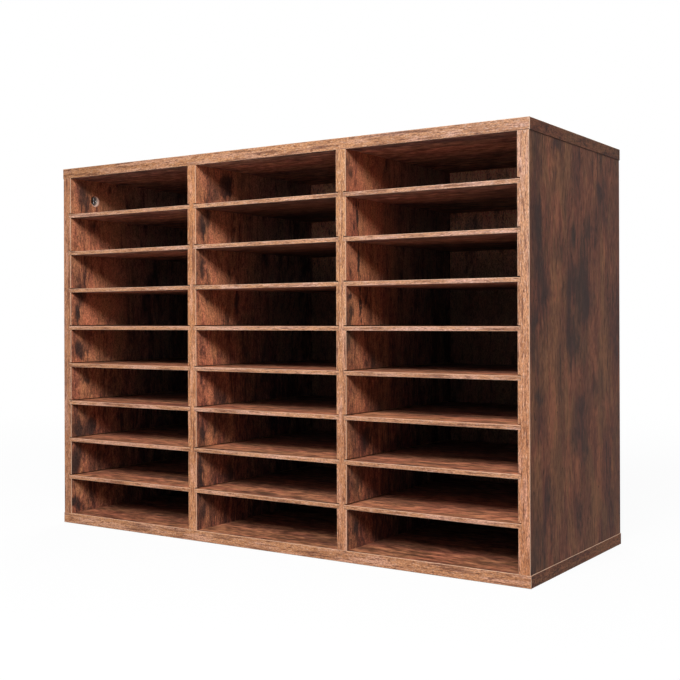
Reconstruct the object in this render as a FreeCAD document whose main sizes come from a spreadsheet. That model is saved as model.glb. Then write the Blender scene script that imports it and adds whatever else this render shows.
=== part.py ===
"""Pigeonhole mail sorter: a board carcase in three columns, with loose shelves in grooves.

The origin is the middle of the footprint, on the face it stands on. +X runs across the
front to the right, -Y is the open front and +Z is up. All lengths are millimetres.

Top and bottom boards run the full width over and under four uprights: two side panels
and two dividers. The uprights hang from the top board on cam locks, stand on the bottom
board on screws driven up from below, and are kept in line by wooden dowels. A thin back
panel sits in grooves. Every visible front edge carries a glued edge band. Each shelf is
a thin board that slides home from the front in a pair of grooves.
"""
import FreeCAD, Part
import os
import re
import Sketcher

DIMENSIONS = (
    ("overall_width", 770.0, "across the end bands of the top and bottom boards"),
    ("overall_depth", 300.0, "front bands to rear edges"),
    ("overall_height", 540.0, "underside of the bottom board to the top face"),
    ("board", 15.0, "thickness of the six carcase boards"),
    ("band", 1.0, "thickness of the edge bands"),
    ("band_round", 0.8, "rounding of the edge bands' outer arrises"),
    ("columns", 3, "columns of compartments"),
    ("shelves_high", 8, "shelves in a column"),
    ("shelf_pitch", 56.75, "rise from one shelf to the next"),
    ("shelf_first", 67.4, "underside of the lowest shelf, above the ground"),
    ("shelf_thick", 5.5, "shelf thickness"),
    ("shelf_round", 0.7, "rounding of a shelf's front arrises"),
    ("shelf_play", 0.5, "gap between a shelf's end and the bottom of its groove"),
    ("shelf_stop", 0.5, "gap between a shelf's rear edge and the back panel"),
    ("groove_tall", 7.0, "height of a shelf groove"),
    ("groove_deep", 4.0, "depth of a shelf groove"),
    ("back_thick", 3.0, "back panel thickness"),
    ("back_front", 281.0, "front bands to the front of the back panel"),
    ("back_groove_wide", 3.4, "width of the groove that holds the back panel"),
    ("back_groove_deep", 5.0, "depth of that groove"),
    ("back_tuck", 4.0, "how far the back panel reaches into its grooves"),
    ("back_groove_spare", 2.0, "how far the groove runs on past the corner of the back panel"),
    ("bolt_front", 49.0, "front edge of a board to the front bolt or screw"),
    ("bolt_rear", 249.0, "front edge of a board to the rear bolt or screw"),
    ("dowel_front", 81.0, "front edge of a board to the front dowel"),
    ("dowel_rear", 217.0, "front edge of a board to the rear dowel"),
    ("hole_play", 0.2, "how much wider than its fitting each hole is"),
    ("hole_spare", 1.0, "how much deeper than its fitting each blind hole is"),
    ("cam_across", 15.0, "cam lock diameter"),
    ("cam_deep", 10.5, "cam lock depth"),
    ("cam_sunk", 2.0, "how far a cam lock's rim lies below the face of its upright"),
    ("cam_below", 30.0, "top end of an upright to the middle of a cam lock"),
    ("cam_rim", 1.3, "width of the raised rim on a cam lock's face"),
    ("cam_dish", 0.3, "how far the face lies below the rim"),
    ("cam_slot_long", 9.0, "length of the cross slot's arms, tip to tip"),
    ("cam_slot_wide", 1.7, "width of the cross slot's arms"),
    ("cam_slot_deep", 1.2, "depth of the cross slot below the rim"),
    ("cam_room", 7.6, "width of the hollow that holds the bolt's head"),
    ("cam_mouth", 5.6, "width of the cam's mouth round the bolt's shank"),
    ("bolt_thread_across", 6.0, "cam bolt thread diameter"),
    ("bolt_thread_long", 11.0, "cam bolt thread length in the top board"),
    ("bolt_collar_across", 7.4, "cam bolt collar diameter"),
    ("bolt_collar_thick", 1.5, "cam bolt collar thickness"),
    ("bolt_shank_across", 4.8, "cam bolt shank diameter"),
    ("bolt_head_across", 6.6, "cam bolt head diameter"),
    ("bolt_head_thick", 3.0, "cam bolt head thickness"),
    ("bolt_bore_across", 8.0, "bore in an upright for a cam bolt"),
    ("dowel_across", 8.0, "dowel diameter"),
    ("dowel_long", 30.0, "dowel length"),
    ("dowel_in_board", 10.0, "how much of a dowel is in the top or bottom board"),
    ("dowel_bevel", 1.0, "bevel at a dowel's ends"),
    ("screw_long", 50.0, "bottom screw length"),
    ("screw_thread_across", 6.2, "bottom screw thread diameter"),
    ("screw_shank_across", 7.0, "bottom screw shank diameter in the bottom board"),
    ("screw_head_across", 10.0, "bottom screw head diameter"),
    ("screw_head_thick", 3.5, "bottom screw head height"),
    ("screw_sunk", 0.4, "how far a head lies above the board's underside"),
    ("screw_socket_across", 4.6, "hexagon socket, corner to corner"),
    ("screw_socket_deep", 2.6, "hexagon socket depth"),
)

# Sizes worked out from the cells above.
BOARD_WIDE = "(overall_width - 2 * band)"
BOARD_DEEP = "(overall_depth - band)"
UPRIGHT_TALL = "(overall_height - 2 * board)"
COLUMN_CLEAR = "((overall_width - 2 * band - (columns + 1) * board) / columns)"
COLUMN_PITCH = "(" + COLUMN_CLEAR + " + board)"
SHELF_WIDE = "(" + COLUMN_CLEAR + " + 2 * (groove_deep - shelf_play))"
SHELF_DEEP = "(back_front - shelf_stop)"
BACK_WIDE = "(overall_width - 2 * band - 2 * board + 2 * back_tuck)"
BACK_TALL = "(" + UPRIGHT_TALL + " + 2 * back_tuck)"
BACK_GROOVE_LONG = "(" + BACK_WIDE + " + 2 * back_groove_spare)"

COLUMN_NAMES = ("left", "middle", "right")
UPRIGHT_NAMES = ("left_side_panel", "left_divider", "right_divider", "right_side_panel")
LEFT_FACE, RIGHT_FACE = "left", "right"
SMALL = 1e-4

doc = FreeCAD.newDocument("mail_sorter")
dims = doc.addObject("Spreadsheet::Sheet", "dims")
sub_parts = []


def fill_sheet():
    """Write the driving dimensions, one to a row, with what each one means."""
    for row, (alias, value, meaning) in enumerate(DIMENSIONS, start=1):
        dims.set("A%d" % row, str(value))
        dims.setAlias("A%d" % row, alias)
        dims.set("B%d" % row, meaning)
    doc.recompute()


def bind(thing, path, expression):
    """Drive a property by an expression written with the sheet's aliases."""
    thing.setExpression(path, re.sub(r"[a-z][a-z_]*", r"dims.\g<0>", expression))


def place(thing, x="0", y="0", z="0"):
    """Drive the position of a sub-part."""
    for axis, expression in zip("xyz", (x, y, z)):
        bind(thing, "Placement.Base." + axis, expression)


def keep(thing, label):
    """Name a sub-part and list it for writing."""
    thing.Label = label
    sub_parts.append(thing)
    return thing


# ---- Sketches and features -----------------------------------------------------------

def new_body(name):
    return doc.addObject("PartDesign::Body", name)


def sketch_on(body, role, lift="0"):
    """Sketch on one of the body's own origin planes, lifted along the plane's normal."""
    plane = next(item for item in body.Origin.OriginFeatures if item.Role == role)
    sketch = body.newObject("Sketcher::SketchObject", body.Name + "_sketch")
    sketch.AttachmentSupport = [(plane, "")]
    sketch.MapMode = "FlatFace"
    bind(sketch, "AttachmentOffset.Base.z", lift)
    return sketch


def set_off(sketch, kind, geometry, point, expression):
    """Hold a point at a distance from the sketch's origin, or on its axis for zero."""
    if expression == "0":
        axis = -2 if kind == "DistanceX" else -1
        sketch.addConstraint(Sketcher.Constraint("PointOnObject", geometry, point, axis))
        return
    index = sketch.addConstraint(Sketcher.Constraint(kind, -1, 1, geometry, point, 1.0))
    bind(sketch, "Constraints[%d]" % index, expression)


def rectangle(sketch, x, y, wide, tall):
    """Rectangle with its near corner at x, y."""
    first = sketch.GeometryCount
    corners = [FreeCAD.Vector(*at) for at in ((1, 1, 0), (2, 1, 0), (2, 2, 0), (1, 2, 0))]
    for side in range(4):
        sketch.addGeometry(Part.LineSegment(corners[side], corners[(side + 1) % 4]), False)
    for side in range(4):
        join = Sketcher.Constraint("Coincident", first + side, 2, first + (side + 1) % 4, 1)
        sketch.addConstraint(join)
        level = "Vertical" if side % 2 else "Horizontal"
        sketch.addConstraint(Sketcher.Constraint(level, first + side))
    set_off(sketch, "DistanceX", first, 1, x)
    set_off(sketch, "DistanceY", first, 1, y)
    for kind, side, expression in (("DistanceX", first, wide), ("DistanceY", first + 1, tall)):
        index = sketch.addConstraint(Sketcher.Constraint(kind, side, 1, side, 2, 1.0))
        bind(sketch, "Constraints[%d]" % index, expression)


def circle(sketch, x, y, across):
    """Circle of the given diameter with its middle at x, y."""
    ring = Part.Circle(FreeCAD.Vector(1, 1, 0), FreeCAD.Vector(0, 0, 1), 1.0)
    geometry = sketch.addGeometry(ring, False)
    set_off(sketch, "DistanceX", geometry, 3, x)
    set_off(sketch, "DistanceY", geometry, 3, y)
    index = sketch.addConstraint(Sketcher.Constraint("Diameter", geometry, 2.0))
    bind(sketch, "Constraints[%d]" % index, across)


def pad(body, sketch, length):
    feature = body.newObject("PartDesign::Pad", body.Name + "_pad")
    feature.Profile = sketch
    bind(feature, "Length", length)
    doc.recompute()
    return feature


def pocket(body, sketch, depth, along_normal=False):
    """Cut the sketch into the body, against the sketch's normal unless told otherwise."""
    before = body.Shape.Volume
    feature = body.newObject("PartDesign::Pocket", body.Name + "_pocket")
    feature.Profile = sketch
    feature.Reversed = along_normal
    bind(feature, "Length", depth)
    doc.recompute()
    if feature.Shape.Volume > before - SMALL:
        raise RuntimeError("a pocket of %s cuts nothing" % body.Name)
    return feature


def repeat(body, features, axis, step, count):
    """Repeat features along an axis of the last one's sketch, one step apart."""
    before = body.Shape.Volume
    feature = body.newObject("PartDesign::LinearPattern", body.Name + "_pattern")
    feature.Originals = features
    feature.Direction = (features[-1].Profile[0], [axis])
    bind(feature, "Length", "%s * (%s - 1)" % (step, count))
    bind(feature, "Occurrences", count)
    body.Tip = feature
    doc.recompute()
    if abs(feature.Shape.Volume - before) < SMALL:
        raise RuntimeError("a pattern of %s repeats nothing" % body.Name)
    return feature


def edge_names(feature, chosen):
    """Names of a feature's edges whose bounding boxes pass the test."""
    edges = enumerate(feature.Shape.Edges, start=1)
    return ["Edge%d" % number for number, edge in edges if chosen(edge.BoundBox)]


def round_edges(body, base, radius, chosen):
    """Round the edges of the base feature that the test picks."""
    feature = body.newObject("PartDesign::Fillet", body.Name + "_round")
    feature.Base = (base, edge_names(base, chosen))
    bind(feature, "Radius", radius)
    doc.recompute()
    return feature


# ---- Carcase boards ------------------------------------------------------------------

def drill_boards(body, inner_lift, faces_up):
    """Blind dowel holes in the inner face, a front and rear one over each upright."""
    sketch = sketch_on(body, "XY_Plane", inner_lift)
    for y in ("dowel_front", "dowel_rear"):
        circle(sketch, "board / 2", y, "dowel_across + hole_play")
    holes = pocket(body, sketch, "dowel_in_board + hole_spare", not faces_up)
    repeat(body, [holes], "H_Axis", COLUMN_PITCH, "columns + 1")


def groove_for_back(body, inner_lift, faces_up):
    """Stopped groove across the inner face for the back panel's edge."""
    sketch = sketch_on(body, "XY_Plane", inner_lift)
    start = "board - back_tuck - back_groove_spare"
    rectangle(sketch, start, "back_front - band", BACK_GROOVE_LONG, "back_groove_wide")
    pocket(body, sketch, "back_groove_deep", not faces_up)


def flat_board(name, inner_lift, faces_up):
    """Board that runs the full width, with its inner face at the given height."""
    body = new_body(name)
    outline = sketch_on(body, "XY_Plane")
    rectangle(outline, "0", "0", BOARD_WIDE, BOARD_DEEP)
    pad(body, outline, "board")
    groove_for_back(body, inner_lift, faces_up)
    drill_boards(body, inner_lift, faces_up)
    return body


def top_board():
    body = flat_board("top_panel", "0", False)
    sketch = sketch_on(body, "XY_Plane")
    for y in ("bolt_front", "bolt_rear"):
        circle(sketch, "board / 2", y, "bolt_thread_across + hole_play")
    holes = pocket(body, sketch, "bolt_thread_long + hole_spare", True)
    repeat(body, [holes], "H_Axis", COLUMN_PITCH, "columns + 1")
    place(body, "band - overall_width / 2", "band - overall_depth / 2", "overall_height - board")
    keep(body, "top_panel")


def bottom_board():
    body = flat_board("bottom_panel", "board", True)
    cuts = (
        ("screw_head_across + 2 * hole_play", "screw_sunk + screw_head_thick"),
        ("screw_shank_across + hole_play", "board"),
    )
    for across, depth in cuts:
        sketch = sketch_on(body, "XY_Plane")
        for y in ("bolt_front", "bolt_rear"):
            circle(sketch, "board / 2", y, across)
        holes = pocket(body, sketch, depth, True)
        repeat(body, [holes], "H_Axis", COLUMN_PITCH, "columns + 1")
    place(body, "band - overall_width / 2", "band - overall_depth / 2", "0")
    keep(body, "bottom_panel")


def is_outermost(number):
    """True for the two side panels, false for the dividers."""
    return number in (0, len(UPRIGHT_NAMES) - 1)


def column_faces(number):
    """The faces of an upright that look on a column."""
    faces = []
    if number > 0:
        faces.append(LEFT_FACE)
    if number < len(UPRIGHT_NAMES) - 1:
        faces.append(RIGHT_FACE)
    return faces


def cam_face(number):
    """The face that an upright's cam locks show in: the left one wherever it can be."""
    return column_faces(number)[0]


def upright_x(number):
    """Where an upright's left face is."""
    return "band - overall_width / 2 + %d * %s" % (number, COLUMN_PITCH)


def sketch_on_face(body, face):
    return sketch_on(body, "YZ_Plane", "board" if face == RIGHT_FACE else "0")


def shelf_grooves(body, number, deep):
    """Rows of level grooves, as deep front to back as given, in the faces on a column."""
    cuts = []
    for face in column_faces(number):
        sketch = sketch_on_face(body, face)
        rectangle(sketch, "0", "shelf_first - board", deep, "groove_tall")
        cuts.append(pocket(body, sketch, "groove_deep", face == LEFT_FACE))
    repeat(body, cuts, "V_Axis", "shelf_pitch", "shelves_high")


def back_slot(body, face):
    """Groove the height of a side panel that holds the edge of the back panel."""
    sketch = sketch_on_face(body, face)
    rectangle(sketch, "back_front - band", "0", "back_groove_wide", UPRIGHT_TALL)
    pocket(body, sketch, "back_groove_deep", face == LEFT_FACE)


def cam_pockets(body, face):
    """Round pockets for the cam locks."""
    sketch = sketch_on_face(body, face)
    for y in ("bolt_front", "bolt_rear"):
        circle(sketch, y, UPRIGHT_TALL + " - cam_below", "cam_across + hole_play")
    pocket(body, sketch, "cam_sunk + cam_deep + hole_play", face == LEFT_FACE)


def end_holes(body):
    """Holes in an upright's ends: bolts and dowels above, screws and dowels below."""
    dowel_deep = "dowel_long - dowel_in_board + hole_spare"
    rows = (
        ("bolt", True, "bolt_bore_across + hole_play", "cam_below"),
        ("dowel", True, "dowel_across + hole_play", dowel_deep),
        ("bolt", False, "screw_thread_across + hole_play", "screw_long - board + hole_spare"),
        ("dowel", False, "dowel_across + hole_play", dowel_deep),
    )
    for row, above, across, depth in rows:
        sketch = sketch_on(body, "XY_Plane", UPRIGHT_TALL if above else "0")
        for end in ("_front", "_rear"):
            circle(sketch, "board / 2", row + end, across)
        pocket(body, sketch, depth, not above)


def upright(number):
    """Side panel, full depth, or divider, as deep as the back panel leaves room for."""
    deep = BOARD_DEEP if is_outermost(number) else "back_front - band"
    body = new_body(UPRIGHT_NAMES[number])
    outline = sketch_on(body, "YZ_Plane")
    rectangle(outline, "0", "0", deep, UPRIGHT_TALL)
    pad(body, outline, "board")
    shelf_grooves(body, number, deep)
    if is_outermost(number):
        back_slot(body, column_faces(number)[0])
    cam_pockets(body, cam_face(number))
    end_holes(body)
    place(body, upright_x(number), "band - overall_depth / 2", "board")
    keep(body, UPRIGHT_NAMES[number])


def back_panel():
    panel = doc.addObject("Part::Box", "back_panel")
    bind(panel, "Length", BACK_WIDE)
    bind(panel, "Width", "back_thick")
    bind(panel, "Height", BACK_TALL)
    place(panel, "-%s / 2" % BACK_WIDE, "back_front - overall_depth / 2", "board - back_tuck")
    keep(panel, "back_panel")


# ---- Edge bands ----------------------------------------------------------------------

def on_front(box):
    return box.YMax < SMALL


def long_front_band(label, z):
    """Band along the front edge of the top or bottom board, over the end bands too."""
    body = new_body(label)
    outline = sketch_on(body, "XY_Plane")
    rectangle(outline, "0", "0", "overall_width", "band")
    strip = pad(body, outline, "board")
    round_edges(body, strip, "band_round", on_front)
    place(body, "-overall_width / 2", "-overall_depth / 2", z)
    keep(body, label)


def end_band(label, face, z):
    """Band on the left or right end of the top or bottom board."""
    body = new_body(label)
    outline = sketch_on(body, "XY_Plane")
    rectangle(outline, "0", "0", "band", BOARD_DEEP)
    strip = pad(body, outline, "board")
    outside = dims.band if face == RIGHT_FACE else 0

    def long_outer(box):
        on_outside = abs(box.XMin - outside) + abs(box.XMax - outside) < SMALL
        return on_outside and box.ZLength < SMALL

    round_edges(body, strip, "band_round", long_outer)
    x = "overall_width / 2 - band" if face == RIGHT_FACE else "-overall_width / 2"
    place(body, x, "band - overall_depth / 2", z)
    keep(body, label)


def upright_front_band(number):
    """Band down the front edge of an upright, notched where the grooves run out."""
    name = UPRIGHT_NAMES[number] + "_front_band"
    body = new_body(name)
    outline = sketch_on(body, "XY_Plane")
    rectangle(outline, "0", "0", "board", "band")
    strip = pad(body, outline, UPRIGHT_TALL)
    round_edges(body, strip, "band_round", lambda box: on_front(box) and box.XLength < SMALL)
    shelf_grooves(body, number, "band")
    place(body, upright_x(number), "-overall_depth / 2", "board")
    keep(body, name)


def edge_bands():
    for board, z in (("top", "overall_height - board"), ("bottom", "0")):
        long_front_band(board + "_front_band", z)
        end_band(board + "_left_end_band", LEFT_FACE, z)
        end_band(board + "_right_end_band", RIGHT_FACE, z)
    for number in range(len(UPRIGHT_NAMES)):
        upright_front_band(number)


# ---- Shelves -------------------------------------------------------------------------

def shelf(column, tier):
    """Loose shelf that rests on the floors of two facing grooves."""
    name = "%s_shelf_%d" % (COLUMN_NAMES[column], tier + 1)
    body = new_body(name)
    outline = sketch_on(body, "XY_Plane")
    rectangle(outline, "0", "0", SHELF_WIDE, SHELF_DEEP)
    sheet = pad(body, outline, "shelf_thick")
    round_edges(body, sheet, "shelf_round", lambda box: on_front(box) and box.ZLength < SMALL)
    start = "band - overall_width / 2 + board - groove_deep + shelf_play"
    x = "%s + %d * %s" % (start, column, COLUMN_PITCH)
    place(body, x, "-overall_depth / 2", "shelf_first + %d * shelf_pitch" % tier)
    keep(body, name)


# ---- Fittings ------------------------------------------------------------------------

def cylinder(name, across, height, z="0"):
    solid = doc.addObject("Part::Cylinder", name)
    bind(solid, "Radius", "(%s) / 2" % across)
    bind(solid, "Height", height)
    place(solid, z=z)
    return solid


def block(name, corner, size):
    """Box from its lowest corner."""
    solid = doc.addObject("Part::Box", name)
    for side, expression in zip(("Length", "Width", "Height"), size):
        bind(solid, side, expression)
    place(solid, *corner)
    return solid


def fuse(name, solids):
    result = doc.addObject("Part::MultiFuse", name)
    result.Shapes = solids
    return result


def cut(name, base, tool):
    result = doc.addObject("Part::Cut", name)
    result.Base = base
    result.Tool = tool
    return result


def cam_lock():
    """One cam lock. Its face looks along +Z, and the mouth for the bolt opens along +X."""
    disc = cylinder("cam_disc", "cam_across", "cam_deep", "-cam_deep")
    dish = cylinder("cam_dish_tool", "cam_across - 2 * cam_rim", "cam_dish", "-cam_dish")
    arm_start, arm_side, arm_low = "-cam_slot_long / 2", "-cam_slot_wide / 2", "-cam_slot_deep"
    level_arm = block("cam_level_arm", (arm_start, arm_side, arm_low),
                      ("cam_slot_long", "cam_slot_wide", "cam_slot_deep"))
    upright_arm = block("cam_upright_arm", (arm_side, arm_start, arm_low),
                        ("cam_slot_wide", "cam_slot_long", "cam_slot_deep"))
    below_bolt = "cam_deep + cam_sunk - board / 2"
    room = block("cam_room_tool", ("-cam_room / 2", "-cam_room / 2", "-cam_deep"),
                 ("cam_room", "cam_room", below_bolt + " + cam_room / 2"))
    mouth = block("cam_mouth_tool", ("0", "-cam_mouth / 2", "-cam_deep"),
                  ("cam_across", "cam_mouth", below_bolt + " + cam_mouth / 2"))
    tools = fuse("cam_tools", [dish, level_arm, upright_arm, room, mouth])
    return cut("cam_lock", disc, tools)


def cam_bolt():
    """One cam bolt: thread up into the top board, head down in the cam."""
    thread = cylinder("bolt_thread", "bolt_thread_across", "bolt_thread_long")
    collar = cylinder("bolt_collar", "bolt_collar_across", "bolt_collar_thick", "-bolt_collar_thick")
    shank = cylinder("bolt_shank", "bolt_shank_across", "cam_below", "-cam_below")
    head_low = "-cam_below - bolt_head_thick / 2"
    head = cylinder("bolt_head", "bolt_head_across", "bolt_head_thick", head_low)
    return fuse("cam_bolt", [thread, collar, shank, head])


def dowel():
    """One dowel, standing on the origin, with bevelled ends."""
    body = new_body("dowel")
    outline = sketch_on(body, "XY_Plane")
    circle(outline, "0", "0", "dowel_across")
    rod = pad(body, outline, "dowel_long")
    bevel = body.newObject("PartDesign::Chamfer", "dowel_bevel")
    bevel.Base = (rod, edge_names(rod, lambda box: box.ZLength < SMALL))
    bind(bevel, "Size", "dowel_bevel")
    return body


def bottom_screw():
    """One screw, point up, with its sunk head and hexagon socket facing down."""
    head = doc.addObject("Part::Cone", "screw_head")
    bind(head, "Radius1", "screw_head_across / 2")
    bind(head, "Radius2", "screw_shank_across / 2")
    bind(head, "Height", "screw_head_thick")
    place(head, z="screw_sunk")
    shank = cylinder("screw_shank", "screw_shank_across", "board - screw_sunk - hole_play", "screw_sunk")
    thread = cylinder("screw_thread", "screw_thread_across", "screw_long - screw_sunk", "screw_sunk")
    socket = doc.addObject("Part::Prism", "screw_socket")
    socket.Polygon = 6
    bind(socket, "Circumradius", "screw_socket_across / 2")
    bind(socket, "Height", "screw_socket_deep")
    place(socket, z="screw_sunk")
    return cut("bottom_screw", fuse("screw_solid", [head, shank, thread]), socket)


def copies(label, master, spots, rotations=None):
    """Group of separate solids: the master repeated at each spot."""
    links = []
    for number, spot in enumerate(spots):
        link = doc.addObject("App::Link", "%s_%d" % (master.Name, number + 1))
        link.LinkedObject = master
        if rotations:
            link.Placement.Rotation = rotations[number]
        place(link, *spot)
        links.append(link)
    group = doc.addObject("Part::Compound", label)
    group.Links = links
    keep(group, label)


def fitting_spots(kind, z):
    """A front and a rear spot at each upright's middle plane, at the given height."""
    rows = ["band - overall_depth / 2 + " + kind + end for end in ("_front", "_rear")]
    middles = [upright_x(number) + " + board / 2" for number in range(len(UPRIGHT_NAMES))]
    return [(x, y, z) for x in middles for y in rows]


def cam_locks():
    """Cam locks, a little below the faces of the uprights, their mouths upwards."""
    up = FreeCAD.Vector(0, 0, 1)
    facing = {
        RIGHT_FACE: FreeCAD.Rotation(up, FreeCAD.Vector(0, -1, 0), FreeCAD.Vector(1, 0, 0)),
        LEFT_FACE: FreeCAD.Rotation(up, FreeCAD.Vector(0, 1, 0), FreeCAD.Vector(-1, 0, 0)),
    }
    spots, rotations = [], []
    for index, (x, y, z) in enumerate(fitting_spots("bolt", "overall_height - board - cam_below")):
        face = cam_face(index // 2)
        side = " + (board / 2 - cam_sunk)" if face == RIGHT_FACE else " - (board / 2 - cam_sunk)"
        spots.append((x + side, y, z))
        rotations.append(facing[face])
    copies("cam_locks", cam_lock(), spots, rotations)


def fittings():
    joint_above, joint_below = "overall_height - board", "board"
    dowel_low = joint_above + " + dowel_in_board - dowel_long"
    cam_locks()
    copies("cam_bolts", cam_bolt(), fitting_spots("bolt", joint_above))
    copies("bottom_screws", bottom_screw(), fitting_spots("bolt", "0"))
    copies("wooden_dowels", dowel(), fitting_spots("dowel", joint_below + " - dowel_in_board")
           + fitting_spots("dowel", dowel_low))


# ---- Whole model ---------------------------------------------------------------------

def check_and_write():
    """Stop on any failed object or bad shape, then write one file to a sub-part."""
    doc.recompute()
    for item in doc.Objects:
        if {"Invalid", "Error"} & set(item.State):
            raise RuntimeError("%s failed: %s" % (item.Name, item.State))
    for item in sub_parts:
        if item.Shape.isNull() or not item.Shape.isValid() or not item.Shape.Solids:
            raise RuntimeError("%s has a bad shape" % item.Label)
    os.makedirs("parts", exist_ok=True)
    for item in sub_parts:
        item.Shape.exportStep("parts/%s.step" % item.Label)
        box = item.Shape.BoundBox
        print("%-34s %2d solids  x %8.2f %8.2f  y %8.2f %8.2f  z %7.2f %7.2f" % (
            item.Label, len(item.Shape.Solids), box.XMin, box.XMax, box.YMin, box.YMax,
            box.ZMin, box.ZMax))


fill_sheet()
top_board()
bottom_board()
for upright_number in range(len(UPRIGHT_NAMES)):
    upright(upright_number)
back_panel()
edge_bands()
for column_number in range(len(COLUMN_NAMES)):
    for tier_number in range(int(dims.shelves_high)):
        shelf(column_number, tier_number)
fittings()
check_and_write()
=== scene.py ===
"""Looks of the pigeonhole mail sorter: finishes for every board, band, shelf and fitting,
a pale studio and the camera. Lengths are metres, in the frame's own axes."""
import math
import bpy
from mathutils import Matrix, Vector


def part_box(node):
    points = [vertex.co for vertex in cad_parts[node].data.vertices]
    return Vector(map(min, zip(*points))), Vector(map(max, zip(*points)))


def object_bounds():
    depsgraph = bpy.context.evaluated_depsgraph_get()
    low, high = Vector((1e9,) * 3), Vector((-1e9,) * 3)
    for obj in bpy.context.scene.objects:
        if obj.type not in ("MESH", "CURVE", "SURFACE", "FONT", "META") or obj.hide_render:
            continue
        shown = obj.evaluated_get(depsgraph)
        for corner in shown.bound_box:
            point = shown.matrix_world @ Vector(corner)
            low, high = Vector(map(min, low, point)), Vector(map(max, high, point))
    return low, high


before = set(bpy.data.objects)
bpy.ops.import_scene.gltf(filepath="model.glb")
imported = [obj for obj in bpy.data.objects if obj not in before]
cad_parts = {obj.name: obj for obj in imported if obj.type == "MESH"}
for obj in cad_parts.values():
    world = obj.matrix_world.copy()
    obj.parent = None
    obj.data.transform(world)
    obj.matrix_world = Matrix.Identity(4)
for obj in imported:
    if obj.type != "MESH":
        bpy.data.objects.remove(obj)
cad_low, cad_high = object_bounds()
scene = bpy.context.scene


def middle_of(node, axis):
    """Middle of a CAD node along one axis."""
    low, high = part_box(node)
    return (low[axis] + high[axis]) / 2


# ---- Camera ----------------------------------------------------------------------------
IMAGE_PX = 680
FOCAL_PX = 1094.8
SENSOR_MM = 36.0
CAMERA_AT = (0.8978, -1.3095, 0.3089)
CAMERA_AZIMUTH = 33.717    # degrees, from straight in front towards the right end
CAMERA_ROLL = -0.20        # degrees
RISE_PX = 20.7             # the level camera's picture is moved up this far, to frame the object


def make_camera():
    """Level camera at the height of the middle shelves, off the right front corner."""
    azimuth, roll = math.radians(CAMERA_AZIMUTH), math.radians(CAMERA_ROLL)
    back = Vector((math.sin(azimuth), -math.cos(azimuth), 0.0))
    side = Vector((0, 0, 1)).cross(back).normalized()
    up = back.cross(side)
    right = math.cos(roll) * side + math.sin(roll) * up
    upward = math.cos(roll) * up - math.sin(roll) * side
    data = bpy.data.cameras.new("camera")
    data.sensor_width = SENSOR_MM
    data.lens = FOCAL_PX / IMAGE_PX * SENSOR_MM
    data.shift_y = -RISE_PX / IMAGE_PX
    camera = bpy.data.objects.new("camera", data)
    turn = Matrix((right, upward, back)).transposed().to_4x4()
    camera.matrix_world = Matrix.Translation(CAMERA_AT) @ turn
    scene.collection.objects.link(camera)
    scene.camera = camera


# ---- Shader building -------------------------------------------------------------------
def rgb(red, green, blue):
    return (red, green, blue, 1.0)


WHITE = rgb(1, 1, 1)
RELIEF_STRENGTH = 0.6


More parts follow.
